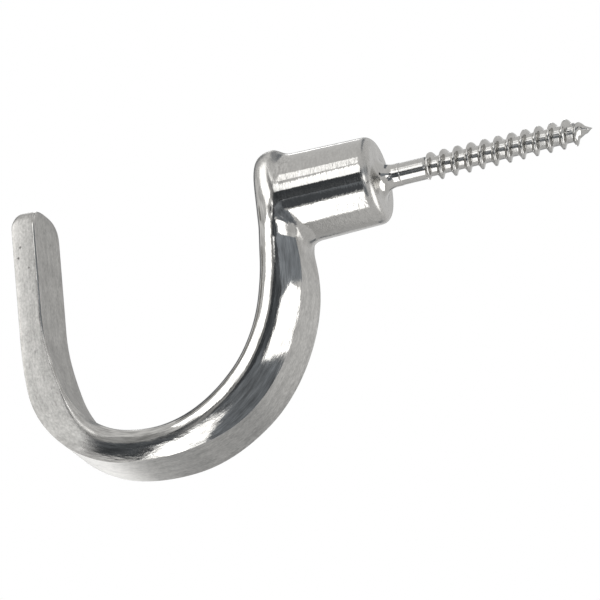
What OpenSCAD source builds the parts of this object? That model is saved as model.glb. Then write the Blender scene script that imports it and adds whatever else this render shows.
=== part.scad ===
// Screw hook: a cast and ground metal hook for a wall or a beam.
// A J-shaped strap crosses the front of a round boss, and a wood screw stands
// out of the boss's wall face.
// Origin: centre of the boss's wall face. +Y runs along the screw, into the
// wall. +Z is up. The J lies in the YZ plane at X = 0 and opens upwards.

/* [Boss] */
// Diameter of the boss where it touches the wall
boss_diameter = 15.8; // [12:0.1:20]
// How much wider the boss is at the strap, a draft from the mould
boss_draft = 0.6; // [0:0.1:1]
// Radius of the rounded edge round the wall face
rim_radius = 1.7; // [0.5:0.1:2.5]
// Radius of the fillet between the boss's underside and the strap
boss_fillet = 2.2; // [0:0.1:3]

/* [Screw] */
// Diameter of the plain shank between the boss and the thread
shank_diameter = 4.1; // [3:0.1:6]
// Radius of the hollow flare that joins the shank to the wall face
flare_radius = 2.6; // [1:0.1:3]
// Length of the flare and the plain shank together
plain_length = 8.6; // [5:0.2:15]
// Outside diameter of the thread
thread_diameter = 5.2; // [4:0.1:7]
// Diameter at the bottom of the thread
root_diameter = 3.4; // [2.4:0.1:5]
// Distance from one thread crest to the next
thread_pitch = 2.53; // [1.5:0.01:3.5]
// Length of the threaded part with its point
thread_length = 30.9; // [15:0.1:60]
// Length of the pointed end
point_length = 3.4; // [2:0.1:8]
// Hand of the thread: -1 for left-hand as the photo shows it, 1 for right-hand
thread_hand = -1; // [-1:2:1]

/* [Hook path] */
// Distance from the wall face to the middle of the strap's thickness
strap_reach = 19; // [14:0.2:30]
// Lean of the shank arm away from the wall, in degrees
shank_lean = 1.5; // [0:0.5:8]
// Straight length of the shank arm below the boss axis
shank_length = 11.4; // [6:0.2:30]
// Centre-line radius of the first bend below the shank arm
upper_bend_radius = 31.6; // [15:0.1:60]
// Angle that the first bend turns through
upper_bend_angle = 34.5; // [10:0.5:60]
// Centre-line radius of the bend that runs to the bottom of the J
lower_bend_radius = 26; // [12:0.1:50]
// Angle that this bend turns through
lower_bend_angle = 69; // [30:1:90]
// Centre-line radius of the bend in front of the bottom
front_bend_radius = 16.6; // [10:0.1:40]
// Angle that the front bend turns through
front_bend_angle = 67; // [30:0.5:90]
// Centre-line radius of the slight bow at the foot of the tip arm
tip_bend_radius = 63; // [30:1:120]
// Angle that the bow turns through
tip_bend_angle = 12; // [0:1:20]
// Straight length of the tip arm below its rounded end
tip_length = 13.5; // [4:0.5:40]

/* [Strap section] */
// Greatest width of the strap, across the hook
strap_width = 14.6; // [10:0.1:20]
// Height of the strap's rounded upper end above the boss axis
strap_top = 9.5; // [7:0.1:12]
// Thickness of the strap's upper end, across the front of the boss
top_thickness = 5.4; // [3:0.1:9]
// Greatest thickness, at the foot of the straight shank arm
shank_thickness = 8.3; // [4:0.1:9]
// Thickness at the bottom of the J
bottom_thickness = 6.5; // [3:0.1:9]
// Thickness of the tip arm
tip_thickness = 4.4; // [3:0.1:9]
// Width of the flat ground outer face on the shank arm
outer_flat_shank = 10.9; // [6:0.1:14]
// Width of the flat ground outer face at the bottom and up the tip arm
outer_flat_tip = 14; // [6:0.1:14]
// Rounding of the throat-side edges on the shank arm, across the strap
throat_round_width = 2.8; // [0.5:0.1:4]
// Rounding of the throat-side edges on the shank arm, through the strap
throat_round_depth = 3.4; // [0.5:0.1:4]
// Rounding of the throat-side edges on the tip arm, where they are crisp
tip_edge_round = 0.4; // [0.2:0.05:1.5]

/* [Hidden] */
finish_colour = [0.74, 0.73, 0.71];

// Turning angle between two stations of the strap in a bend, in degrees
bend_step = 3.6;
// Points on half a strap section: the throat-side corner, then the side
corner_points = 5;
side_points = 7;
// Rings in each rounded end of the strap
cap_rings = 7;
// Flat sides in one turn of the thread
thread_sides = 24;

half_width = strap_width / 2;
boss_radius = boss_diameter / 2;
boss_front_radius = boss_radius + boss_draft / 2;
shank_radius = shank_diameter / 2;
total_length = plain_length + thread_length;

// A smooth step from 0 to 1 while x goes from 0 to 1
function ease(x) = let (t = min(1, max(0, x))) t * t * (3 - 2 * t);
function mix(a, b, t) = a + (b - a) * t;

// The hook's centre line, as a chain of [length, turning angle] pieces
bend_length = function (radius, angle) radius * angle * PI / 180;
pieces = [
    [shank_length + strap_top - half_width, 0],
    [bend_length(upper_bend_radius, upper_bend_angle), upper_bend_angle],
    [bend_length(lower_bend_radius, lower_bend_angle), lower_bend_angle],
    [bend_length(front_bend_radius, front_bend_angle), front_bend_angle],
    [bend_length(tip_bend_radius, tip_bend_angle), tip_bend_angle],
    [tip_length, 0],
];

// A place on the centre line is [y, z, heading]; the heading is the angle of
// travel below +Y, so 90 is straight down, and it grows towards -Y.
start = [-strap_reach + sin(shank_lean) * (strap_top - half_width),
    strap_top - half_width, 90 + shank_lean];

// The place at a fraction t of one piece, from the place where it starts
function along(p, piece, t) =
    piece[1] == 0
        ? [p[0] + cos(p[2]) * piece[0] * t, p[1] - sin(p[2]) * piece[0] * t, p[2]]
        : let (r = piece[0] * 180 / (PI * piece[1]), h = p[2] + piece[1] * t)
            [p[0] + r * (sin(h) - sin(p[2])), p[1] + r * (cos(h) - cos(p[2])), h];

// Where piece k starts
function piece_start(k) = k == 0 ? start : along(piece_start(k - 1), pieces[k - 1], 1);

function sum_to(k) = k == 0 ? 0 : sum_to(k - 1) + pieces[k - 1][0];
strap_length = sum_to(len(pieces));

// Stations down the strap: each is [place, fraction of the strap's length]
stations = concat(
    [for (k = [0:len(pieces) - 1])
        let (p = piece_start(k), n = max(k == 0 ? 26 : 2, ceil(pieces[k][1] / bend_step)))
            if (pieces[k][0] > 0)
                for (i = [0:n - 1])
                    [along(p, pieces[k], i / n), (sum_to(k) + pieces[k][0] * i / n) / strap_length]],
    [[piece_start(len(pieces)), 1]]);

// How the section changes down the strap, with f the fraction of its length
function thickness(f) =
    let (upper = mix(top_thickness, shank_thickness, ease(f / 0.2)),
        lower = mix(upper, bottom_thickness, ease((f - 0.34) / 0.19)))
        mix(lower, tip_thickness, ease((f - 0.69) / 0.17));
function outer_flat(f) = mix(outer_flat_shank, outer_flat_tip, ease((f - 0.37) / 0.12));
// 0 where the throat edges are well rounded, 1 where they are crisp
function crispness(f) = ease((f - 0.59) / 0.15);
// 0 where the outer edges are crisp, 1 where they are rounded over
function softness(f) = ease((f - 0.65) / 0.2);

// How far the outer face swells towards the wall at a height z, to make the
// fillet under the boss
function swell(z) =
    let (below = min(boss_fillet, max(0, -z - boss_front_radius)))
        boss_fillet - sqrt(boss_fillet ^ 2 - (boss_fillet - below) ^ 2);

// Half a section as [half width, height above the centre line], from the
// edge of the throat face round the side to the edge of the outer face
function half_section(f, z) =
    let (t = thickness(f), c = crispness(f), s = softness(f),
        rw = mix(throat_round_width, tip_edge_round, c),
        rd = min(mix(throat_round_depth, tip_edge_round, c), 0.7 * t),
        outer = min(half_width - 0.2, outer_flat(f) / 2),
        shoulder = t / 2 - rd, low = -t / 2 - (f < 0.5 ? swell(z) : 0))
    concat(
        [for (i = [0:corner_points - 1])
            let (a = 90 * i / (corner_points - 1))
                [half_width - rw + rw * sin(a), shoulder + rd * cos(a)]],
        [for (i = [1:side_points])
            let (a = 90 * i / side_points, q = sin(a))
                [half_width - (half_width - outer) * mix(q ^ 1.6, 1 - cos(a), s),
                    mix(shoulder, low, q)]]);

// A point of the strap: x across it, h towards the throat, d down the strap
function strap_point(p, x, h, d) =
    [x, p[0] - sin(p[2]) * h + cos(p[2]) * d, p[1] - cos(p[2]) * h - sin(p[2]) * d];

// A full ring of points at one station. The angle turns the ring about the
// middle of the strap's end, which makes the rounded ends; side is -1 at the
// upper end and 1 at the tip.
function ring(station, angle, side) =
    let (half = half_section(station[1], station[0][1]), n = len(half))
    [for (j = [0:2 * n - 1])
        let (q = j < n ? half[j] : half[2 * n - 1 - j], sign = j < n ? 1 : -1)
            strap_point(station[0], sign * q[0] * cos(angle), q[1], side * q[0] * sin(angle))];

strap_rings = concat(
    [for (i = [0:cap_rings - 1]) ring(stations[0], 90 - 90 * i / cap_rings, -1)],
    [for (s = stations) ring(s, 0, 1)],
    [for (i = [1:cap_rings]) ring(stations[len(stations) - 1], 90 * i / cap_rings, 1)]);

// The J-shaped strap, lofted through its rings. The first and the last ring
// are folded flat, so their two halves share one row of points.
module strap() {
    m = 2 * (corner_points + side_points);
    last = len(strap_rings) - 1;
    at = function (i, j)
        let (k = j % m) i * m + ((i == 0 || i == last) && k >= m / 2 ? m - 1 - k : k);
    polyhedron(
        points = [for (r = strap_rings) for (p = r) p],
        faces = [for (i = [0:last - 1]) for (j = [0:m - 1])
            let (a = at(i, j), b = at(i, j + 1), c = at(i + 1, j + 1), d = at(i + 1, j))
                for (f = [[a, b, c], [a, c, d]])
                    if (f[0] != f[1] && f[1] != f[2] && f[2] != f[0]) f],
        convexity = 4);
}

// Points on a quarter of an ellipse about a centre, from angle a to angle b
function arc(centre, rx, ry, a, b, n) =
    [for (i = [0:n]) centre + [rx * cos(mix(a, b, i / n)), ry * sin(mix(a, b, i / n))]];

// The boss, its flare and the plain shank are one turned body on the Y axis.
// The outline is drawn as [radius, distance into the wall].
module boss_and_shank() {
    front = -(strap_reach + top_thickness / 2) + 0.25;
    dome = min(4.4, top_thickness * 0.8);
    rotate([-90, 0, 0])
        rotate_extrude($fn = 96)
            polygon(concat(
                [[0, front]],
                arc([boss_front_radius - 2.6, front + dome], 2.6, dome, -90, 0, 8),
                arc([boss_radius - rim_radius, -rim_radius], rim_radius, rim_radius, 0, 90, 8),
                arc([shank_radius + flare_radius, flare_radius], flare_radius, flare_radius,
                    -90, -180, 10),
                [[shank_radius, plain_length], [root_diameter / 2 - 0.05, plain_length + 0.6],
                    [0, plain_length + 0.6]]));
}

// Half widths of the thread's root and crest at a distance y from the wall
// face. Both run out to the point, and the crest rises out of the shank.
point_start = total_length - point_length;
function to_point(y) = max(0, (total_length - y) / point_length);
function root_radius(y) = y < point_start ? root_diameter / 2
    : mix(0.05, root_diameter / 2, min(1, 1.25 * to_point(y)));
function crest_radius(y) =
    let (full = mix(root_diameter / 2, thread_diameter / 2, ease((y - plain_length + 1) / 1.8)))
        y < point_start ? full : mix(0.1, full, min(1, to_point(y)) ^ 0.8);

// The profile of one thread ridge, as [fraction of the pitch, 0 root or 1 crest]
ridge = [[0.17, 0], [0.43, 1], [0.53, 1], [0.78, 0]];

// A thread wound as one strip: each turn's root meets the last one
module thread() {
    k = len(ridge);
    hand = thread_hand < 0 ? -1 : 1;
    first = plain_length - 2 * thread_pitch;
    n = floor((total_length - first - thread_pitch) / thread_pitch * thread_sides);
    wound = [for (i = [0:n]) for (j = [0:k - 1])
        let (y = first + thread_pitch * (i / thread_sides + ridge[j][0]),
            r = ridge[j][1] == 0 ? root_radius(y) : crest_radius(y), a = 360 * i / thread_sides)
            [hand * r * sin(a), y, r * cos(a)]];
    inner = len(wound);
    tip = inner + 1;
    at = function (i, j) i * k + j;
    strip = [for (i = [0:n - 1]) for (j = [0:k - 2])
        let (a = at(i, j), b = at(i, j + 1), c = at(i + 1, j + 1), d = at(i + 1, j))
            each [[a, b, c], [a, c, d]]];
    root = [for (i = [0:n - thread_sides - 1])
        let (a = at(i, k - 1), b = at(i + thread_sides, 0),
            c = at(i + thread_sides + 1, 0), d = at(i + 1, k - 1))
            each [[a, b, c], [a, c, d]]];
    // the open edges at the two ends, closed to a point on the axis
    start_edge = concat([for (i = [0:thread_sides]) at(i, 0)], [for (j = [k - 1:-1:0]) at(0, j)]);
    end_edge = concat([for (i = [n - thread_sides:n]) at(i, k - 1)],
        [for (j = [k - 2:-1:0]) at(n, j)], [at(n - thread_sides, k - 1)]);
    faces = concat(strip, root,
        [for (i = [0:len(start_edge) - 2]) [start_edge[i], start_edge[i + 1], inner]],
        [for (i = [0:len(end_edge) - 2]) [end_edge[i], tip, end_edge[i + 1]]]);
    // the other hand is a mirror image, so its faces are listed the other way
    polyhedron(
        points = concat(wound, [[0, first + thread_pitch * 0.2, 0], [0, total_length, 0]]),
        faces = hand > 0 ? faces : [for (f = faces) [f[0], f[2], f[1]]],
        convexity = 12);
}

module hook() {
    color(finish_colour) {
        strap();
        boss_and_shank();
        thread();
    }
}

hook();
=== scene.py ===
"""Screw hook: the looks of a cast metal hook with a wood screw.

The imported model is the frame. Two pieces stand for its one solid: the polished
casting, which is the strap and the boss blended into each other, and the wood
screw that stands out of it. The strap and the thread are swept by Geometry
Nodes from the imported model's sizes, with the strap's ends drawn finer.
"""

import math

import bmesh
import bpy
import numpy as np
from mathutils import Matrix, Vector
from mathutils.bvhtree import BVHTree


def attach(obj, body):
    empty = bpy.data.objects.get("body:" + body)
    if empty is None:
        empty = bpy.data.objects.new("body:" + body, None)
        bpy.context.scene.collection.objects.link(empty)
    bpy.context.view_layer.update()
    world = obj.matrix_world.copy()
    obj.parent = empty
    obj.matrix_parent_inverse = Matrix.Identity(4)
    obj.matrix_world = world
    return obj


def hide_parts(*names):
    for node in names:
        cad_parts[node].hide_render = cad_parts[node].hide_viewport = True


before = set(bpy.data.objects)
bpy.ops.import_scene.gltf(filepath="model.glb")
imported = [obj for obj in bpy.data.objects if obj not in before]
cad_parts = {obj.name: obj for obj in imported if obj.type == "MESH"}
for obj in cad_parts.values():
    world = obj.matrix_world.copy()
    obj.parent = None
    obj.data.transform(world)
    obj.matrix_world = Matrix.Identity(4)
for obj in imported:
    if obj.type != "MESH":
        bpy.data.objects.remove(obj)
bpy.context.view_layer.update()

MM = 0.001

# Sizes in mm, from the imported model; the ends of the strap are drawn finer here

BOSS = {
    "diameter": 15.8,
    "draft": 0.6,
    "rim_radius": 1.7,
    "front_corner": 2.6,
    "front_inset": 0.25,
    "dome_share": 0.8,
}
SCREW = {
    "shank_diameter": 4.1,
    "flare_radius": 2.6,
    "plain_length": 8.6,
    "thread_diameter": 5.2,
    "root_diameter": 3.4,
    "pitch": 2.53,
    "thread_length": 30.9,
    "point_length": 3.4,
}
REACH = 19.0
LEAN = 1.5
# the path is straight, then these bends of a radius and an angle, then straight
BENDS = [(31.6, 34.5), (26.0, 69.0), (16.6, 67.0), (63.0, 12.0)]
SHANK_LENGTH = 11.4
TIP_LENGTH = 16.4
STRAP = {
    "width": 14.6,
    "top": 9.3,
    "top_end_length": 5.6,
    "tip_end_length": 4.0,
    "top_thickness": 5.4,
    "shank_thickness": 8.3,
    "bottom_thickness": 6.5,
    "tip_thickness": 4.4,
    "outer_flat_shank": 10.9,
    "outer_flat_tip": 14.0,
    "throat_round_width": 2.8,
    "throat_round_depth": 3.4,
    "tip_edge_round": 0.5,
}
# shares of the path's length over which the strap's section changes
TOP_TO_SHANK = (0.0, 0.2)
SHANK_TO_BOTTOM = (0.34, 0.53)
BOTTOM_TO_TIP = (0.69, 0.86)
FLAT_WIDENS = (0.37, 0.49)
EDGES_CRISPEN = (0.59, 0.74)
SIDES_SQUARE = (0.65, 0.85)
# how ground the throat face and the upper end are, where the outer face is 1,
# and the share that the crisp edge loses
THROAT_SATIN = 0.5
UPPER_SATIN = 0.8
EDGE_RUBBED = 0.85
# where the cast neck ends and the steel screw comes out of it
NECK_END = 3.9
# how far the fillet between boss and strap reaches, at its sides and under the
# boss, and the depths below the screw's axis where one goes over to the other
BLEND_SIDE = 1.5
BLEND_UNDER = 3.0
SIDE_ENDS = 5.5
UNDER_BEGINS = 8.0


# Node building


class Field:
    """A node socket that can stand in a plain sum, such as a + b * 2."""

    def __init__(self, tree, socket):
        self.tree = tree
        self.socket = socket

    def math(self, operation, *others):
        node = self.tree.nodes.new("ShaderNodeMath")
        node.operation = operation
        for socket, value in zip(node.inputs, (self, *others)):
            plug(self.tree, value, socket)
        return Field(self.tree, node.outputs[0])

    def __add__(self, other):
        return self.math("ADD", other)

    def __sub__(self, other):
        return self.math("SUBTRACT", other)

    def __rsub__(self, other):
        return constant(self.tree, other).math("SUBTRACT", self)

    def __mul__(self, other):
        return self.math("MULTIPLY", other)

    def __truediv__(self, other):
        return self.math("DIVIDE", other)

    def __neg__(self):
        return self.math("MULTIPLY", -1.0)

    __radd__ = __add__
    __rmul__ = __mul__

    def sin(self):
        return self.math("SINE")

    def cos(self):
        return self.math("COSINE")

    def floor(self):
        return self.math("FLOOR")

    def less(self, other):
        return self.math("LESS_THAN", other)

    def lowest(self, other):
        return self.math("MINIMUM", other)

    def highest(self, other):
        return self.math("MAXIMUM", other)

    def power(self, other):
        return self.math("POWER", other)

    def ramp(self, low, high, first=0.0, last=1.0, smooth=False):
        """Goes from first to last while this goes from low to high."""
        node = self.tree.nodes.new("ShaderNodeMapRange")
        node.interpolation_type = "SMOOTHSTEP" if smooth else "LINEAR"
        for name, value in zip(
            ("Value", "From Min", "From Max", "To Min", "To Max"),
            (self, low, high, first, last),
        ):
            plug(self.tree, value, node.inputs[name])
        return Field(self.tree, node.outputs[0])

    def ease(self, low, high):
        return self.ramp(low, high, smooth=True)


def plug(tree, value, socket):
    """Sets a socket to a number, or links a field or an output to it."""
    if isinstance(value, Field):
        tree.links.new(value.socket, socket)
    elif isinstance(value, bpy.types.NodeSocket):
        tree.links.new(value, socket)
    elif value is not None:
        socket.default_value = value


def constant(tree, value):
    node = tree.nodes.new("ShaderNodeValue")
    node.outputs[0].default_value = value
    return Field(tree, node.outputs[0])


def mix(a, b, t):
    """From a to b while t goes from 0 to 1."""
    return a + (b - a) * t


def add_node(tree, kind, settings=None, **values):
    """A new node with its settings and inputs; an input's name has _ for a space."""
    node = tree.nodes.new(kind)
    for key, value in (settings or {}).items():
        setattr(node, key, value)
    for key, value in values.items():
        plug(tree, value, node.inputs[key.replace("_", " ")])
    return node


def vector(tree, x, y, z):
    return add_node(tree, "ShaderNodeCombineXYZ", X=x, Y=y, Z=z).outputs[0]


def vector_math(tree, operation, first, second, result="Vector"):
    """One step of vector arithmetic; SCALE takes a number as its second value."""
    node = add_node(tree, "ShaderNodeVectorMath", {"operation": operation})
    plug(tree, first, node.inputs[0])
    plug(tree, second, node.inputs["Scale" if operation == "SCALE" else 1])
    return node.outputs[result]


def geometry_tree(name, inputs):
    """A geometry tree with named inputs, and a dict of those inputs as fields."""
    tree = bpy.data.node_groups.new(name, "GeometryNodeTree")
    tree.is_modifier = True
    tree.interface.new_socket(
        name="Geometry", in_out="OUTPUT", socket_type="NodeSocketGeometry"
    )
    tree.interface.new_socket(
        name="Geometry", in_out="INPUT", socket_type="NodeSocketGeometry"
    )
    kinds = {int: "NodeSocketInt", float: "NodeSocketFloat"}
    for label, value in inputs.items():
        if isinstance(value, bpy.types.Material):
            socket_type = "NodeSocketMaterial"
        else:
            socket_type = kinds[type(value)]
        tree.interface.new_socket(name=label, in_out="INPUT", socket_type=socket_type)
    group_in = tree.nodes.new("NodeGroupInput")
    fields = {s.name: Field(tree, s) for s in group_in.outputs if s.name}
    return tree, fields


def swept_grid(tree, rows, columns):
    """A grid's mesh, and the row and the column of each of its points."""
    grid = add_node(
        tree,
        "GeometryNodeMeshGrid",
        Size_X=1.0,
        Size_Y=1.0,
        Vertices_X=rows,
        Vertices_Y=columns,
    )
    index = Field(tree, tree.nodes.new("GeometryNodeInputIndex").outputs[0])
    # a little more than the quotient, so that a whole one isn't rounded down
    row = (index / columns + 1e-4).floor()
    return grid.outputs["Mesh"], row, index - row * columns


def finish_tree(tree, geometry, material):
    """Closes the seams and ends the tree with real geometry in its material."""
    merged = add_node(
        tree, "GeometryNodeMergeByDistance", Geometry=geometry, Distance=1.5e-6
    )
    real = add_node(tree, "GeometryNodeRealizeInstances", Geometry=merged.outputs[0])
    dressed = add_node(
        tree, "GeometryNodeSetMaterial", Geometry=real.outputs[0], Material=material
    )
    group_out = tree.nodes.new("NodeGroupOutput")
    tree.links.new(dressed.outputs[0], group_out.inputs[0])


def bake(obj, tree, inputs):
    """Runs the tree on the object and returns the result as a plain mesh."""
    modifier = obj.modifiers.new("shape", "NODES")
    modifier.node_group = tree
    for item in tree.interface.items_tree:
        if item.item_type == "SOCKET" and item.in_out == "INPUT" and item.name in inputs:
            modifier[item.identifier] = inputs[item.name]
    return plain_mesh(obj)


def plain_mesh(obj):
    """The object's evaluated mesh; its modifiers are removed."""
    depsgraph = bpy.context.evaluated_depsgraph_get()
    mesh = bpy.data.meshes.new_from_object(
        obj.evaluated_get(depsgraph), depsgraph=depsgraph
    )
    obj.modifiers.clear()
    return mesh


def new_object(name, data):
    obj = bpy.data.objects.new(name, data)
    bpy.context.scene.collection.objects.link(obj)
    return obj


def face_outwards(mesh):
    """Merges doubles and turns all faces outwards."""
    bm = bmesh.new()
    bm.from_mesh(mesh)
    bmesh.ops.remove_doubles(bm, verts=bm.verts, dist=2e-6)
    bmesh.ops.dissolve_degenerate(bm, edges=bm.edges, dist=1e-6)
    if bm.calc_volume(signed=True) < 0:
        bmesh.ops.reverse_faces(bm, faces=bm.faces)
    bm.to_mesh(mesh)
    bm.free()


# The strap


def path_points(step):
    """Places down the hook's centre line as rows of x, y, z in metres."""
    lean = math.radians(LEAN)
    above = STRAP["top"] - STRAP["top_end_length"]
    y, z = -REACH + math.sin(lean) * above, above
    heading = math.radians(90) + lean
    rows = [(y, z)]

    def straight(length):
        nonlocal y, z
        count = math.ceil(length / step)
        for k in range(1, count + 1):
            t = length * k / count
            rows.append((y + math.cos(heading) * t, z - math.sin(heading) * t))
        y, z = rows[-1]

    def bend(radius, angle):
        nonlocal y, z, heading
        count = math.ceil(radius * math.radians(angle) / step)
        for k in range(1, count + 1):
            h = heading + math.radians(angle) * k / count
            rows.append(
                (
                    y + radius * (math.sin(h) - math.sin(heading)),
                    z + radius * (math.cos(h) - math.cos(heading)),
                )
            )
        heading = h
        y, z = rows[-1]

    straight(SHANK_LENGTH + above)
    for radius, angle in BENDS:
        bend(radius, angle)
    straight(TIP_LENGTH)
    return np.array([(0.0, *row) for row in rows]) * MM


def strap_thickness(given, f):
    upper = mix(given["Top Thickness"], given["Shank Thickness"], f.ease(*TOP_TO_SHANK))
    lower = mix(upper, given["Bottom Thickness"], f.ease(*SHANK_TO_BOTTOM))
    return mix(lower, given["Tip Thickness"], f.ease(*BOTTOM_TO_TIP))


def strap_section(given, f, q, thick):
    """The point of the section at share f of the path and share q round its side.

    q goes from the middle of the throat face, 0, to the middle of the outer
    face, 1. x is out from the middle plane, and h is towards the throat.
    """
    throat, corner, side = (given[k] for k in ("Throat Share", "Corner Share", "Side Share"))
    on_throat = q.ramp(0.0, throat)
    round_corner = q.ramp(throat, corner, 0.0, math.pi / 2)
    down_side = q.ramp(corner, side, 0.0, math.pi / 2)
    on_outer = q.ramp(side, 1.0)

    half = given["Width"] / 2
    outer = mix(given["Shank Flat"], given["Tip Flat"], f.ease(*FLAT_WIDENS)) / 2
    outer = outer.lowest(half - given["Least Side Slope"])
    crisp = f.ease(*EDGES_CRISPEN)
    round_width = mix(given["Throat Round Width"], given["Tip Edge Round"], crisp)
    round_depth = mix(given["Throat Round Depth"], given["Tip Edge Round"], crisp)
    round_depth = round_depth.lowest(thick * 0.7)

    sine = down_side.sin()
    bulge = mix(sine.power(1.6), 1.0 - down_side.cos(), f.ease(*SIDES_SQUARE))
    x = (half - round_width) * on_throat + round_width * round_corner.sin()
    x = x - (half - outer) * bulge - outer * on_outer
    shoulder = thick / 2 - round_depth
    h = mix(shoulder + round_depth * round_corner.cos(), -(thick / 2), sine)
    return x, h


def strap_end(given, row, x, h, thick):
    """How far across and ahead a section's point lies, also in the end's rows.

    Those rows turn the section about the middle of the strap's end. The ends are
    blunt: their outline is fuller than a half circle's, and their outer corner
    is rounded down, at the top half as deep as at the tip.
    """
    cap = given["End Rings"]
    before = (cap - row).highest(0.0)
    after = (row - cap - given["Stations"] + 1).highest(0.0)
    turn = before / cap * (-math.pi / 2) + after / cap * (math.pi / 2)
    at_tip = after.lowest(1.0)
    end_length = mix(given["Top End Length"], given["Tip End Length"], at_tip)
    fullness = mix(given["Top End Fullness"], given["Tip End Fullness"], at_tip)
    corner = (1.0 - (h + thick / 2) / given["End Corner Width"]).highest(0.0).lowest(1.0)
    drop = given["End Corner Depth"] * (1.0 - (1.0 - corner * corner).power(0.5))
    drop = drop * (at_tip * 0.5 + 0.5)
    across = x * turn.cos().highest(0.0).power(fullness)
    sine = turn.sin()
    reach = sine.math("ABSOLUTE").power(fullness) * sine.math("SIGN")
    ahead = x / (given["Width"] / 2) * (end_length - drop) * reach
    return across, ahead


def strap_finish(given, f, q):
    """How ground the strap is: 0 where it is polished, 1 on the outer face."""
    throat, corner, side = (given[k] for k in ("Throat Share", "Corner Share", "Side Share"))
    arm = f.ease(given["Satin Start"], given["Satin End"])
    outer_face = q.ramp(side - 0.001, side)
    throat_face = q.ramp(throat + 0.03, throat) * THROAT_SATIN
    upper_end = f.ramp(
        given["Upper Satin"], given["Upper Polish"], UPPER_SATIN, 0.0, smooth=True
    )
    ground = outer_face.highest(arm).highest(throat_face).highest(upper_end)
    # the crisp inner edge of the tip arm is rubbed bright
    edge = q.ramp(throat - 0.004, throat + 0.01) * q.ramp(
        corner - 0.01, corner + 0.004, 1.0, 0.0
    )
    return ground * (1.0 - edge * f.ease(*EDGES_CRISPEN) * EDGE_RUBBED)


def strap_tree(inputs):
    """A grid wrapped round the path: rows are stations, columns go round.

    The rows before the first and after the last station make the two ends.
    """
    tree, given = geometry_tree("strap sweep", inputs)
    rows, columns, cap = given["Stations"], given["Points Around"], given["End Rings"]
    mesh, row, column = swept_grid(tree, rows + cap * 2, columns + 1)
    curve = add_node(tree, "GeometryNodeMeshToCurve", Mesh=given["Geometry"])
    f = (row - cap).highest(0.0).lowest(rows - 1) / (rows - 1)
    # more stations on the first part of the path, beside the boss
    f = mix(f, f * f, given["Dense Share"])
    sample = add_node(
        tree,
        "GeometryNodeSampleCurve",
        {"mode": "FACTOR"},
        Curves=curve.outputs[0],
        Factor=f,
    )
    tangent = sample.outputs["Tangent"]

    t = column / columns
    right = t.less(0.5)
    q = mix(2.0 - t * 2, t * 2, right)
    thick = strap_thickness(given, f)
    x, h = strap_section(given, f, q, thick)
    across, ahead = strap_end(given, row, x, h, thick)
    across = across * (right * 2 - 1)

    throat = vector_math(tree, "CROSS_PRODUCT", tangent, (1.0, 0.0, 0.0))
    position = sample.outputs["Position"]
    for part in (
        vector_math(tree, "SCALE", throat, h),
        vector_math(tree, "SCALE", tangent, ahead),
        vector(tree, across, 0.0, 0.0),
    ):
        position = vector_math(tree, "ADD", position, part)
    placed = add_node(tree, "GeometryNodeSetPosition", Geometry=mesh, Position=position)

    # what the metal needs to know: how ground a place is, and where it lies on
    # the straightened strap
    length = add_node(tree, "GeometryNodeCurveLength", Curve=curve.outputs[0])
    run = f * Field(tree, length.outputs[0])
    lay = vector(
        tree, given["Start Height"] - run - ahead, given["Start Depth"] - h, across
    )
    stored = placed.outputs[0]
    for name, kind, value in (
        ("ground", "FLOAT", strap_finish(given, f, q)),
        ("lay", "FLOAT_VECTOR", lay),
    ):
        node = add_node(
            tree,
            "GeometryNodeStoreNamedAttribute",
            {"data_type": kind, "domain": "POINT"},
            Geometry=stored,
            Name=name,
            Value=value,
        )
        stored = node.outputs[0]
    finish_tree(tree, stored, given["Material"])
    return tree


def make_strap(material):
    """The J-shaped strap with its two rounded ends."""
    points = path_points(step=0.1)
    path = bpy.data.meshes.new("strap_path")
    path.from_pydata(points.tolist(), [(k, k + 1) for k in range(len(points) - 1)], [])
    obj = new_object("strap_path", path)
    half_steps = 48
    inputs = {
        "Stations": 300,
        "Points Around": half_steps * 2,
        "End Rings": 32,
        "Dense Share": 0.45,
        "Width": STRAP["width"] * MM,
        "Top End Length": STRAP["top_end_length"] * MM,
        "Tip End Length": STRAP["tip_end_length"] * MM,
        "Top End Fullness": 0.86,
        "Tip End Fullness": 0.7,
        "End Corner Width": 1.5 * MM,
        "End Corner Depth": 2.4 * MM,
        "Top Thickness": STRAP["top_thickness"] * MM,
        "Shank Thickness": STRAP["shank_thickness"] * MM,
        "Bottom Thickness": STRAP["bottom_thickness"] * MM,
        "Tip Thickness": STRAP["tip_thickness"] * MM,
        "Shank Flat": STRAP["outer_flat_shank"] * MM,
        "Tip Flat": STRAP["outer_flat_tip"] * MM,
        "Throat Round Width": STRAP["throat_round_width"] * MM,
        "Throat Round Depth": STRAP["throat_round_depth"] * MM,
        "Tip Edge Round": STRAP["tip_edge_round"] * MM,
        "Least Side Slope": 0.2 * MM,
        # the steps round one half of the section at which each face ends
        "Throat Share": 5 / half_steps,
        "Corner Share": 17 / half_steps,
        "Side Share": 43 / half_steps,
        "Satin Start": 0.585,
        "Satin End": 0.66,
        "Upper Satin": 0.028,
        "Upper Polish": 0.046,
        "Start Height": points[0][2].item(),
        "Start Depth": points[0][1].item(),
        "Material": material,
    }
    tree = strap_tree(inputs)
    mesh = bake(obj, tree, inputs)
    bpy.data.objects.remove(obj)
    face_outwards(mesh)
    return mesh


# The boss


def arc(centre, rx, ry, first, last, count):
    """Points on an ellipse between two angles, given in degrees."""
    rows = []
    for k in range(count + 1):
        a = math.radians(first + (last - first) * k / count)
        rows.append((centre[0] + rx * math.cos(a), centre[1] + ry * math.sin(a)))
    return rows


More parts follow.
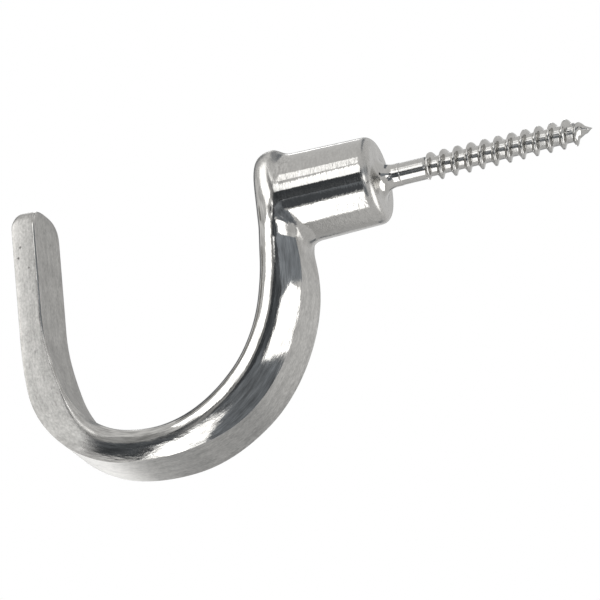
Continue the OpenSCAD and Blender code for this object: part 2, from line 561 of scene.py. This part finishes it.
def filled(profile, step):
    """The profile with points added so that no gap is longer than step."""
    rows = [profile[0]]
    for a, b in zip(profile, profile[1:]):
        count = max(1, math.ceil(math.dist(a, b) / step))
        for k in range(1, count + 1):
            t = k / count
            rows.append((a[0] + (b[0] - a[0]) * t, a[1] + (b[1] - a[1]) * t))
    return rows


def turned(name, profile, sides):
    """A closed body turned about the Y axis from [radius, y] points in mm."""
    angles = np.arange(sides) * 2 * math.pi / sides
    verts, rings, faces = [], [], []
    for radius, y in profile:
        if radius < 1e-6:
            rings.append([len(verts)] * sides)
            verts.append((0.0, y, 0.0))
            continue
        rings.append(list(range(len(verts), len(verts) + sides)))
        verts += [(radius * math.sin(a), y, radius * math.cos(a)) for a in angles]
    for low, high in zip(rings, rings[1:]):
        for k in range(sides):
            n = (k + 1) % sides
            face = [low[k], low[n], high[n], high[k]]
            faces.append(list(dict.fromkeys(face)))
    mesh = bpy.data.meshes.new(name)
    mesh.from_pydata((np.array(verts) * MM).tolist(), [], faces)
    face_outwards(mesh)
    return mesh


# how ground the boss is by its place in mm from the wall: its wall face is satin
FACE_SATIN = {-1.9: 0.0, -0.9: 0.55, -0.01: 0.55, 0.5: 0.0}


def make_boss(material):
    """The round boss, the hollow flare and the cast neck."""
    radius = BOSS["diameter"] / 2
    front_radius = radius + BOSS["draft"] / 2
    corner = BOSS["front_corner"]
    front = BOSS["front_inset"] - REACH - STRAP["top_thickness"] / 2
    dome = STRAP["top_thickness"] * BOSS["dome_share"]
    rim = BOSS["rim_radius"]
    neck = SCREW["shank_diameter"] / 2
    flare = SCREW["flare_radius"]
    lip = 0.16
    profile = (
        [(0.0, front)]
        + arc((front_radius - corner, front + dome), corner, dome, -90, 0, 24)
        + arc((radius - rim, -rim), rim, rim, 0, 90, 20)
        + arc((neck + flare, flare), flare, flare, -90, -180, 28)
        + arc((neck - lip, NECK_END - lip), lip, lip, 0, 90, 6)
        + [(0.0, NECK_END)]
    )
    mesh = turned("boss", filled(profile, step=0.28), sides=240)
    mesh.materials.append(material)
    points = np.empty(len(mesh.vertices) * 3)
    mesh.vertices.foreach_get("co", points)
    points = points.reshape(-1, 3)
    ground = np.interp(points[:, 1] / MM, list(FACE_SATIN), list(FACE_SATIN.values()))
    store(mesh, "ground", "FLOAT", ground)
    store(mesh, "lay", "FLOAT_VECTOR", points[:, [2, 1, 0]])
    return mesh


def store(mesh, name, kind, values):
    layer = mesh.attributes.get(name) or mesh.attributes.new(name, kind, "POINT")
    key = "vector" if kind == "FLOAT_VECTOR" else "value"
    layer.data.foreach_set(key, np.ascontiguousarray(values, dtype=np.float32).ravel())


# The casting: strap and boss made one


class Skin:
    """A mesh that tells how far a point is from it, and its smooth normal there."""

    def __init__(self, mesh, crease):
        mesh.shade_smooth()
        mesh.set_sharp_from_angle(angle=math.radians(crease))
        mesh.calc_loop_triangles()
        self.points = read(mesh.vertices, "co", 3)
        self.triangles = read(mesh.loop_triangles, "vertices", 3, int)
        self.corners = read(mesh.loop_triangles, "loops", 3, int)
        self.normals = read(mesh.corner_normals, "vector", 3)
        self.ground = read(mesh.attributes["ground"].data, "value", 1)[:, 0]
        self.lay = read(mesh.attributes["lay"].data, "vector", 3)
        self.tree = BVHTree.FromPolygons(
            self.points.tolist(), self.triangles.tolist(), all_triangles=True
        )

    def look(self, places, reach):
        """Distance, normal, ground and lay at each place; far ones are left out."""
        count = len(places)
        near = np.zeros((count, 3))
        which = np.full(count, -1)
        for k, place in enumerate(places.tolist()):
            spot, _, triangle, _ = self.tree.find_nearest(place, reach)
            if spot is not None:
                near[k] = spot
                which[k] = triangle
        known = which >= 0
        t = self.triangles[which[known]]
        weights = barycentric(near[known], *(self.points[t[:, k]] for k in range(3)))
        c = self.corners[which[known]]
        normal = np.zeros((count, 3))
        normal[known] = unit(sum(weights[:, [k]] * self.normals[c[:, k]] for k in range(3)))
        distance = np.full(count, reach)
        gap = places[known] - near[known]
        side = np.where((gap * normal[known]).sum(1) < 0, -1.0, 1.0)
        distance[known] = np.linalg.norm(gap, axis=1) * side
        ground = np.zeros(count)
        ground[known] = sum(weights[:, k] * self.ground[t[:, k]] for k in range(3))
        lay = np.zeros((count, 3))
        lay[known] = sum(weights[:, [k]] * self.lay[t[:, k]] for k in range(3))
        return distance, normal, ground, lay


def read(collection, key, width, kind=float):
    values = np.empty(len(collection) * width, dtype=np.int32 if kind is int else np.float32)
    collection.foreach_get(key, values)
    return values.reshape(-1, width).astype(kind)


def unit(rows):
    return rows / np.maximum(np.linalg.norm(rows, axis=1, keepdims=True), 1e-12)


def barycentric(p, a, b, c):
    ab, ac, ap = b - a, c - a, p - a
    d00, d01, d11 = (ab * ab).sum(1), (ab * ac).sum(1), (ac * ac).sum(1)
    d20, d21 = (ap * ab).sum(1), (ap * ac).sum(1)
    area = np.maximum(d00 * d11 - d01 * d01, 1e-30)
    v = (d11 * d20 - d01 * d21) / area
    w = (d00 * d21 - d01 * d20) / area
    weights = np.clip(np.stack([1 - v - w, v, w], 1), 0, 1)
    return weights / weights.sum(1, keepdims=True)


def blended(strap, boss, places):
    """The height of each place over the filleted union, and what lies there.

    The last value is 1 where both skins are equally near and 0 outside the fillet.
    """
    far = 3 * BLEND_UNDER * MM
    a, na, ga, la = strap.look(places, far)
    b, nb, gb, lb = boss.look(places, far)
    depth = -places[:, 2] / MM
    under = np.clip((depth - SIDE_ENDS) / (UNDER_BEGINS - SIDE_ENDS), 0, 1)
    reach = mix(BLEND_SIDE, BLEND_UNDER, under * under * (3 - 2 * under)) * MM
    h = np.clip(1 - np.abs(a - b) / reach, 0, 1)
    share = np.where(a < b, 1 - h / 2, h / 2)[:, None]
    height = np.minimum(a, b) - h * h * reach / 4
    normal = unit(na * share + nb * (1 - share))
    ground = ga * share[:, 0] + gb * (1 - share[:, 0])
    # only one of the two tells where a place lies if the other is out of reach
    only_b = (a > far * 0.99)[:, None]
    only_a = (b > far * 0.99)[:, None]
    lay = np.where(only_b, lb, np.where(only_a, la, la * share + lb * (1 - share)))
    return height, normal, ground, lay, h


def unite(first, second):
    """One closed mesh from two closed meshes that overlap."""
    obj, tool = new_object("union", first), new_object("union_tool", second)
    modifier = obj.modifiers.new("union", "BOOLEAN")
    modifier.operation = "UNION"
    modifier.solver = "MANIFOLD"
    modifier.object = tool
    mesh = plain_mesh(obj)
    bpy.data.objects.remove(obj)
    bpy.data.objects.remove(tool)
    return mesh


def cut_wide_faces(mesh):
    """Cuts into triangles the faces of more than four corners that a union leaves."""
    bm = bmesh.new()
    bm.from_mesh(mesh)
    bmesh.ops.triangulate(bm, faces=[f for f in bm.faces if len(f.verts) > 4])
    bm.to_mesh(mesh)
    bm.free()


def set_corner_normals(mesh, strap, boss, places, normal):
    """A corner takes its vertex's normal or, on a crisp edge, that of its own side.

    Where even that is wild, it takes its face's own normal.
    """
    crisp_angle, wild_angle = 11, 50
    inward = 0.12
    mesh.shade_smooth()
    loops = read(mesh.loops, "vertex_index", 1, int)[:, 0]
    faces = read(mesh.polygons, "normal", 3)
    centres = read(mesh.polygons, "center", 3)
    sizes = read(mesh.polygons, "loop_total", 1, int)[:, 0]
    face_of = np.repeat(np.arange(len(sizes)), sizes)
    corners = normal[loops]
    crisp = (corners * faces[face_of]).sum(1) < math.cos(math.radians(crisp_angle))
    inner = mix(places[loops[crisp]], centres[face_of[crisp]], inward)
    corners[crisp] = blended(strap, boss, inner)[1]
    wild = (corners * faces[face_of]).sum(1) < math.cos(math.radians(wild_angle))
    corners[wild] = faces[face_of[wild]]
    mesh.normals_split_custom_set(corners.tolist())


def make_casting(material):
    """Strap and boss as one closed skin, with a fillet where they meet."""
    strap_mesh, boss_mesh = make_strap(material), make_boss(material)
    strap, boss = Skin(strap_mesh, crease=13), Skin(boss_mesh, crease=30)
    mesh = unite(strap_mesh, boss_mesh)
    face_outwards(mesh)
    cut_wide_faces(mesh)
    places = read(mesh.vertices, "co", 3)
    steps = 4
    for _ in range(steps):
        height, normal, _, _, band = blended(strap, boss, places)
        places = places - normal * (height * (band > 0))[:, None]
    mesh.vertices.foreach_set("co", places.astype(np.float32).ravel())
    mesh.update()
    _, normal, ground, lay, _ = blended(strap, boss, places)
    store(mesh, "ground", "FLOAT", ground)
    store(mesh, "lay", "FLOAT_VECTOR", lay)
    set_corner_normals(mesh, strap, boss, places, normal)
    mesh.materials.clear()
    mesh.materials.append(material)
    return new_object("hook_casting", mesh)


# The wood screw


def thread_tree(inputs):
    """A grid wound into a helix: rows go round, columns go along one pitch."""
    tree, given = geometry_tree("wood thread", inputs)
    columns, around = given["Points Along"], given["Sides"]
    mesh, row, column = swept_grid(tree, given["Turns"] * around + 1, columns + 1)
    u = column / columns
    pitch, end = given["Pitch"], given["End"]
    y = given["Start"] + pitch * (row / around + u)
    root, crest, point = given["Root"], given["Crest"], given["Point"]
    ridge = u.ramp(given["Rise Start"], given["Rise End"], smooth=True) * u.ramp(
        given["Fall Start"], given["Fall End"], 1.0, 0.0, smooth=True
    )
    # how much of the point is left: the core tapers later than the crest
    left = ((end - y) / point).highest(0.0).lowest(1.0)
    core = root * (left * 1.06).lowest(1.0)
    run_out = y.ease(given["Shank End"] - 1.0 * MM, given["Shank End"] + 0.8 * MM)
    top = mix(root, crest, run_out) * left.power(1.1)
    begin = given["Start"] + pitch
    # the first turn opens from a point on the axis, inside the shank
    opened = y.ramp(begin, begin + 0.3 * MM)
    radius = mix(core, top, ridge) * opened
    angle = row / around * (2 * math.pi)
    held = y.highest(begin).lowest(end)
    placed = add_node(
        tree,
        "GeometryNodeSetPosition",
        Geometry=mesh,
        Position=vector(tree, radius * angle.sin() * -1.0, held, radius * angle.cos()),
    )
    finish_tree(tree, placed.outputs[0], given["Material"])
    return tree


def make_screw(material):
    """The plain shank with its wood thread, one closed body."""
    pitch = SCREW["pitch"]
    start = SCREW["plain_length"] - 2 * pitch
    end = SCREW["plain_length"] + SCREW["thread_length"]
    inputs = {
        "Points Along": 22,
        "Sides": 72,
        "Turns": math.ceil((end - start) / pitch),
        "Pitch": pitch * MM,
        "Start": start * MM,
        "End": end * MM,
        "Shank End": SCREW["plain_length"] * MM,
        "Root": SCREW["root_diameter"] / 2 * MM,
        "Crest": SCREW["thread_diameter"] / 2 * MM,
        "Point": SCREW["point_length"] * MM,
        "Rise Start": 0.17,
        "Rise End": 0.43,
        "Fall Start": 0.52,
        "Fall End": 0.78,
        "Material": material,
    }
    tree = thread_tree(inputs)
    carrier = new_object("thread_carrier", bpy.data.meshes.new("thread_carrier"))
    thread = bake(carrier, tree, inputs)
    bpy.data.objects.remove(carrier)
    face_outwards(thread)
    # the shank starts inside the cast neck and tapers down into the thread's root
    shank = SCREW["shank_diameter"] / 2 - 0.06
    root = SCREW["root_diameter"] / 2 - 0.05
    shank_start = NECK_END - 1.5
    shank_end = SCREW["plain_length"]
    taper_end = shank_end + 0.6
    profile = [
        (0.0, shank_start),
        (shank, shank_start),
        (shank, shank_end),
        (root, taper_end),
        (0.0, taper_end),
    ]
    mesh = unite(thread, turned("shank", filled(profile, step=0.4), sides=96))
    face_outwards(mesh)
    mesh.shade_smooth()
    crease = 35
    mesh.set_sharp_from_angle(angle=math.radians(crease))
    mesh.materials.clear()
    mesh.materials.append(material)
    return new_object("wood_screw", mesh)


# Materials


def shader_group(name, inputs, outputs):
    tree = bpy.data.node_groups.new(name, "ShaderNodeTree")
    for label, kind, value in inputs:
        socket = tree.interface.new_socket(name=label, in_out="INPUT", socket_type=kind)
        if value is not None:
            socket.default_value = value
    for label, kind in outputs:
        tree.interface.new_socket(name=label, in_out="OUTPUT", socket_type=kind)
    group_in = tree.nodes.new("NodeGroupInput")
    group_out = tree.nodes.new("NodeGroupOutput")
    given = {s.name: Field(tree, s) for s in group_in.outputs if s.name}
    return tree, given, group_out


FLOAT, VECTOR = "NodeSocketFloat", "NodeSocketVector"


def noise(tree, place, scale, detail=2.0, roughness=0.5, stretch=(1, 1, 1)):
    """A noise field; scale is cycles per metre, stretch multiplies it by axis."""
    mapping = add_node(tree, "ShaderNodeMapping", Vector=place)
    mapping.inputs["Scale"].default_value = stretch
    node = add_node(
        tree,
        "ShaderNodeTexNoise",
        Vector=mapping.outputs[0],
        Scale=scale,
        Detail=detail,
        Roughness=roughness,
    )
    return Field(tree, node.outputs["Fac"])


def polish_marks_group():
    """Short strokes that the polishing wheel leaves along the first axis of Place."""
    tree, given, out = shader_group(
        "polish marks",
        [("Place", VECTOR, None), ("Strength", FLOAT, 1.0)],
        [("Height", FLOAT), ("Tone", FLOAT)],
    )
    place = given["Place"]
    fine = noise(tree, place, 3000.0, roughness=0.6, stretch=(0.24, 1, 1))
    broad = noise(tree, place, 900.0, detail=1.0, stretch=(0.3, 1, 1))
    wave = noise(tree, place, 190.0, detail=1.0, roughness=0.4)
    stroke = noise(tree, place, 2600.0, roughness=0.6, stretch=(0.12, 1, 1))
    height = (fine * 2.4 + broad * 3.0) * given["Strength"] + wave * 3.0
    plug(tree, height, out.inputs["Height"])
    plug(tree, (stroke - 0.5) * 1.6 + (broad - 0.5) * 0.7, out.inputs["Tone"])
    return tree


def ground_grain_group():
    """The mottled grain of a ground face: a height, and a colour variation."""
    tree, given, out = shader_group(
        "ground grain",
        [("Place", VECTOR, None), ("Strength", FLOAT, 1.0)],
        [("Height", FLOAT), ("Tone", FLOAT), ("Specks", FLOAT)],
    )
    place = given["Place"]
    fine = noise(tree, place, 2900.0, roughness=0.65, stretch=(0.6, 1, 1))
    blotch = noise(tree, place, 520.0, roughness=0.55, stretch=(0.6, 1, 1))
    streak = noise(tree, place, 2200.0, stretch=(0.07, 1, 1))
    spots = noise(tree, place, 1300.0, detail=1.0, stretch=(0.6, 1, 1))
    height = (fine * 1.6 + blotch * 3.0 + streak * 0.8) * given["Strength"]
    plug(tree, height, out.inputs["Height"])
    tone = (fine - 0.5) * 1.3 + (blotch - 0.5) * 0.8 + (streak - 0.5) * 0.5
    plug(tree, tone, out.inputs["Tone"])
    plug(tree, spots.ramp(0.68, 0.78), out.inputs["Specks"])
    return tree


def pit_group():
    """A small casting pit at Centre: 1 inside it, 0 outside."""
    tree, given, out = shader_group(
        "casting pit",
        [("Place", VECTOR, None), ("Centre", VECTOR, (0, 0, 0)), ("Radius", FLOAT, 0.0005)],
        [("Depth", FLOAT)],
    )
    wobble = add_node(tree, "ShaderNodeTexNoise", Vector=given["Place"], Scale=2200.0)
    gap = vector_math(tree, "DISTANCE", given["Place"], given["Centre"], "Value")
    r = given["Radius"]
    distance = Field(tree, gap) + r * (Field(tree, wobble.outputs["Fac"]) - 0.5)
    plug(tree, distance.ramp(r * 0.35, r, 1.0, 0.0, smooth=True), out.inputs["Depth"])
    return tree


def use_group(tree, group, **values):
    node = tree.nodes.new("ShaderNodeGroup")
    node.node_tree = group
    for key, value in values.items():
        plug(tree, value, node.inputs[key])
    return {s.name: Field(tree, s) for s in node.outputs}


def empty_material(name):
    material = bpy.data.materials.new(name)
    material.use_nodes = True
    tree = material.node_tree
    tree.nodes.clear()
    return material, tree, tree.nodes.new("ShaderNodeOutputMaterial")


def new_material(name):
    material, tree, output = empty_material(name)
    shader = tree.nodes.new("ShaderNodeBsdfPrincipled")
    tree.links.new(shader.outputs[0], output.inputs[0])
    return material, tree, shader


def mix_shaders(tree, share, first, second, output):
    """Puts out the first shader, and the second where share is 1."""
    mixed = tree.nodes.new("ShaderNodeMixShader")
    plug(tree, share, mixed.inputs[0])
    tree.links.new(first.outputs[0], mixed.inputs[1])
    tree.links.new(second.outputs[0], mixed.inputs[2])
    tree.links.new(mixed.outputs[0], output.inputs[0])


def attribute(tree, name, output="Fac"):
    node = add_node(tree, "ShaderNodeAttribute", {"attribute_name": name})
    return Field(tree, node.outputs[output])


def colour_between(tree, low, high, t):
    node = add_node(tree, "ShaderNodeMix", {"data_type": "RGBA"})
    plug(tree, t, node.inputs[0])
    node.inputs[6].default_value = (*low, 1)
    node.inputs[7].default_value = (*high, 1)
    return node.outputs[2]


def bump(tree, height, distance):
    node = add_node(tree, "ShaderNodeBump", Height=height, Distance=distance)
    node.inputs["Strength"].default_value = 1.0
    return node.outputs[0]


# centre and radius in mm of the casting's pits
PITS = [
    ((7.23, -65.49, 0.97), 0.26),
    ((7.19, -66.17, -0.93), 0.24),
    ((7.28, -64.56, -3.04), 0.22),
    ((0.38, -59.43, -39.7), 0.30),
    ((7.2, -0.7, -2.3), 0.34),
]
# where the boss begins, in metres from the wall: the wheel marks it more
MARKED_BOSS = (-13 * MM, -9 * MM)
# where its colour gets more even
CALM_BOSS = (-17 * MM, -14 * MM)
# colours in the darkest and in the palest marks
CASTING_DARK = (0.20, 0.196, 0.187)
CASTING_PALE = (0.72, 0.707, 0.68)
SCREW_DARK = (0.34, 0.335, 0.32)
SCREW_PALE = (0.66, 0.65, 0.63)
# roughness of the polished metal, of the ground metal and of the screw
POLISHED = 0.06
GROUND = 0.44
SCREW_SHEEN = 0.14
# how many metres one unit of height is deep
CASTING_BUMP = 5e-6
SCREW_BUMP = 1.4e-6


def casting_pits(tree, group, place):
    """1 in the casting's pits and 0 elsewhere."""
    result = constant(tree, 0.0)
    for centre, radius in PITS:
        pit = use_group(
            tree, group, Place=place, Centre=[c * MM for c in centre], Radius=radius * MM
        )
        result = result.highest(pit["Depth"])
    return result


def casting_material(groups):
    """Polished where the wheel went, satin where the flats were ground."""
    material, tree, shader = new_material("polished_steel")
    coords = tree.nodes.new("ShaderNodeTexCoord").outputs["Object"]
    depth = Field(tree, add_node(tree, "ShaderNodeSeparateXYZ", Vector=coords).outputs["Y"])
    place = attribute(tree, "lay", "Vector")
    ground = attribute(tree, "ground")
    strength = depth.ramp(*MARKED_BOSS, 0.8, 1.2)
    marks = use_group(tree, groups["marks"], Place=place, Strength=strength)
    grain = use_group(tree, groups["grain"], Place=place, Strength=1.0)
    pits = casting_pits(tree, groups["pit"], coords)
    specks = (grain["Specks"] * ground * 0.45).highest(pits * 0.8)
    marks_tone = marks["Tone"] * depth.ramp(*CALM_BOSS, 0.9, 0.22)
    tone = mix(marks_tone, grain["Tone"] * 0.7, ground)
    tone = tone + 0.58 - ground * 0.1 - specks * 0.5
    colour = colour_between(tree, CASTING_DARK, CASTING_PALE, tone)
    plug(tree, colour, shader.inputs["Base Color"])
    shader.inputs["Metallic"].default_value = 1.0
    rough = mix(POLISHED, grain["Tone"] * 0.1 + GROUND, ground)
    plug(tree, rough.highest(specks * 0.5), shader.inputs["Roughness"])
    height = mix(marks["Height"], grain["Height"], ground) - pits * 20.0
    plug(tree, bump(tree, height, CASTING_BUMP), shader.inputs["Normal"])
    return material


def screw_material(groups):
    """Plain bright steel, a little duller than the casting."""
    material, tree, shader = new_material("screw_steel")
    coords = tree.nodes.new("ShaderNodeTexCoord").outputs["Object"]
    grain = use_group(tree, groups["grain"], Place=coords, Strength=1.0)
    colour = colour_between(tree, SCREW_DARK, SCREW_PALE, grain["Tone"] * 0.6 + 0.5)
    plug(tree, colour, shader.inputs["Base Color"])
    shader.inputs["Metallic"].default_value = 1.0
    plug(tree, grain["Tone"] * 0.1 + SCREW_SHEEN, shader.inputs["Roughness"])
    plug(tree, bump(tree, grain["Height"], SCREW_BUMP), shader.inputs["Normal"])
    return material


# Studio

# the photo's view, fitted to the hook's outline: the camera's place round the
# hook in degrees from +X towards +Y, its height over the horizontal, its tilt
VIEW_AZIMUTH = 15.01
VIEW_ELEVATION = -17.52
VIEW_ROLL = 8.88
# the middle of the photo in mm from the hook's origin, to the right and up
AIM_RIGHT = -14.39
AIM_UP = -21.43
FIELD_WIDTH = 106.2 * MM
CAMERA_DISTANCE = 3.0


def view_axes():
    """The photo's right, its up and the direction towards its camera."""
    a, e, roll = (math.radians(k) for k in (VIEW_AZIMUTH, VIEW_ELEVATION, VIEW_ROLL))
    level = Vector((-math.sin(a), math.cos(a), 0.0))
    toward = Vector((math.cos(e) * math.cos(a), math.cos(e) * math.sin(a), math.sin(e)))
    upright = toward.cross(level)
    right = level * math.cos(roll) - upright * math.sin(roll)
    up = level * math.sin(roll) + upright * math.cos(roll)
    return right, up, toward


RIGHT, UP, TOWARD = view_axes()


def make_camera():
    data = bpy.data.cameras.new("camera")
    data.sensor_width = 36.0
    data.lens = data.sensor_width * CAMERA_DISTANCE / FIELD_WIDTH
    data.clip_start, data.clip_end = 0.05, 50.0
    camera = new_object("camera", data)
    aim = (RIGHT * AIM_RIGHT + UP * AIM_UP) * MM
    turn = Matrix((RIGHT, UP, TOWARD)).transposed()
    camera.matrix_world = Matrix.Translation(aim + TOWARD * CAMERA_DISTANCE) @ turn.to_4x4()
    bpy.context.scene.camera = camera


def rectangle(name, half_x, half_y, height=0.0):
    corners = ((-1, -1), (1, -1), (1, 1), (-1, 1))
    mesh = bpy.data.meshes.new(name)
    mesh.from_pydata(
        [(x * half_x, y * half_y, height) for x, y in corners], [], [(0, 1, 2, 3)]
    )
    return mesh


def make_floor():
    """A plain pale floor, well below the camera, which looks up at the hook."""
    mesh = rectangle("floor", 12.0, 12.0, height=-1.25)
    material, _, shader = new_material("pale_floor")
    shader.inputs["Base Color"].default_value = (0.86, 0.86, 0.86, 1)
    shader.inputs["Roughness"].default_value = 0.9
    mesh.materials.append(material)
    new_object("floor", mesh)


def view_direction(azimuth, elevation):
    """A direction from the hook: azimuth to the photo's right, elevation up."""
    a, e = math.radians(azimuth), math.radians(elevation)
    level = TOWARD * math.cos(a) + RIGHT * math.sin(a)
    return level * math.cos(e) + UP * math.sin(e)


# the place in the hook, in mm, that the lamps and cards are set out from
LIT_POINT = (7.0, -27.0, -22.0)


def facing(azimuth, elevation, roll, distance):
    """The matrix of something that faces the hook from a distance."""
    toward = view_direction(azimuth, elevation)
    right = UP.cross(toward).normalized()
    turn = Matrix((right, toward.cross(right), toward)).transposed()
    turn = turn @ Matrix.Rotation(math.radians(roll), 3, "Z")
    where = Vector(LIT_POINT) * MM + toward * distance
    return Matrix.Translation(where) @ turn.to_4x4()


def spans(width, height, distance):
    """The size in metres of what looks width by height degrees wide."""
    return [2 * distance * math.tan(math.radians(k / 2)) for k in (width, height)]


def soft_box(name, azimuth, elevation, width, height, level, roll, distance):
    """An area lamp that looks level times as bright as a white card."""
    size_x, size_y = spans(width, height, distance)
    data = bpy.data.lights.new(name, "AREA")
    data.shape = "RECTANGLE"
    data.size, data.size_y = size_x, size_y
    data.energy = level * math.pi * size_x * size_y
    lamp = new_object(name, data)
    lamp.matrix_world = facing(azimuth, elevation, roll, distance)
    lamp.visible_camera = False


def card_material(name, shade, half_x, half_y, edge):
    """Glows with its shade and clears towards the card's edges."""
    material, tree, output = empty_material(name)
    coords = tree.nodes.new("ShaderNodeTexCoord").outputs["Object"]
    parts = add_node(tree, "ShaderNodeSeparateXYZ", Vector=coords)
    across, upward = (
        Field(tree, parts.outputs[axis]).math("ABSOLUTE").ramp(
            half - edge, half, 1.0, 0.0, smooth=True
        )
        for axis, half in (("X", half_x), ("Y", half_y))
    )
    clear = tree.nodes.new("ShaderNodeBsdfTransparent")
    glow = tree.nodes.new("ShaderNodeEmission")
    glow.inputs["Color"].default_value = (*shade, 1)
    mix_shaders(tree, across * upward, clear, glow, output)
    return material


def card(name, azimuth, elevation, width, height, level, roll, distance, soft, tint):
    """A card of one shade with soft edges, which only reflections see."""
    half_x, half_y = (size / 2 for size in spans(width, height, distance))
    edge, _ = spans(soft, soft, distance)
    shade = [level * k for k in tint]
    mesh = rectangle(name, half_x, half_y)
    mesh.materials.append(card_material(name, shade, half_x, half_y, edge))
    obj = new_object(name, mesh)
    obj.matrix_world = facing(azimuth, elevation, roll, distance)
    obj.visible_camera = False
    obj.visible_shadow = False


def background(tree, level):
    node = tree.nodes.new("ShaderNodeBackground")
    node.inputs["Color"].default_value = (level, level, level, 1)
    return node


def make_world():
    """White behind the hook, a plain grey level in its light and reflections."""
    world = bpy.data.worlds.new("studio")
    bpy.context.scene.world = world
    world.use_nodes = True
    tree = world.node_tree
    tree.nodes.clear()
    rays = tree.nodes.new("ShaderNodeLightPath")
    output = tree.nodes.new("ShaderNodeOutputWorld")
    grey = background(tree, level=0.8)
    white = background(tree, level=1.0)
    mix_shaders(tree, rays.outputs["Is Camera Ray"], grey, white, output)


# the dark cards are a little blue, the pale ones grey, and one is tan
DARK_TINT = (0.92, 1.0, 1.1)
PALE_TINT = (1.0, 1.0, 1.0)
TAN_TINT = (1.25, 1.0, 0.6)

# each row is a name, the azimuth and elevation of its place, its width and its
# height in degrees, its level, its roll in degrees and its distance in metres
SOFT_BOXES = [
    ("main_box", -31, 37, 18, 26, 2.0, -20, 0.18),
    ("left_box", -74, 29, 53, 32, 1.9, -35, 0.78),
    ("right_box", 12, 19, 26, 21, 2.0, -10, 1.64),
    ("front_strip", -15, 5, 48, 9, 2.15, -20, 0.32),
    ("low_strip", -17, -46, 8, 47, 2.0, 5, 0.34),
    ("upper_strip", -54, 53, 4, 17, 1.3, 40, 1.56),
    ("flare_box", 86, -4, 40, 30, 2.0, 0, 0.35),
    ("back_strip", -172, -8, 16, 70, 1.9, 12, 0.72),
]
# a card's row ends with the softness of its edges in degrees and its tint
CARDS = [
    ("boss_black", -26, 23, 18, 26, 0.07, 13, 0.12, 2.0, DARK_TINT),
    ("small_black", -45, 7, 9, 14, 0.085, 75, 0.16, 2.0, DARK_TINT),
    ("low_black", -27, -10, 24, 31, 0.10, -45, 0.32, 3.0, DARK_TINT),
    ("high_dark", -27, 27, 45, 23, 0.12, -5, 0.80, 1.0, DARK_TINT),
    ("long_dark", -1, 0, 75, 20, 0.21, -35, 0.16, 3.0, DARK_TINT),
    ("low_dark", 3, -12, 46, 30, 0.26, 70, 1.42, 3.0, DARK_TINT),
    ("right_dark", 34, 38, 61, 17, 0.33, 0, 0.16, 1.5, DARK_TINT),
    ("left_grey", -47, 36, 16, 57, 0.42, 40, 0.16, 3.0, PALE_TINT),
    ("edge_black", 70, 33, 30, 12, 0.03, 0, 0.40, 3.0, DARK_TINT),
    ("far_grey", -178, 5, 36, 54, 0.41, 50, 0.16, 2.0, PALE_TINT),
    ("far_high_dark", 156, 61, 11, 57, 0.24, 25, 0.24, 2.0, DARK_TINT),
    ("far_low_grey", 160, -66, 82, 9, 0.56, 85, 0.16, 2.0, PALE_TINT),
    ("back_dark", -150, 8, 26, 60, 0.14, 12, 0.70, 4.0, DARK_TINT),
    ("back_low_dark", 158, -38, 40, 16, 0.20, -14, 0.70, 4.0, DARK_TINT),
    ("small_tan", -27, 14, 4, 3, 0.60, 30, 0.155, 1.5, TAN_TINT),
]


def make_studio():
    make_world()
    make_floor()
    for row in SOFT_BOXES:
        soft_box(*row)
    for row in CARDS:
        card(*row)
    bpy.context.scene.view_settings.view_transform = "Standard"


# Putting it together


def main():
    groups = {
        "marks": polish_marks_group(),
        "grain": ground_grain_group(),
        "pit": pit_group(),
    }
    casting = make_casting(casting_material(groups))
    screw = make_screw(screw_material(groups))
    for piece in (casting, screw):
        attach(piece, "root")
        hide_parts("hook")
    make_studio()
    make_camera()


main()
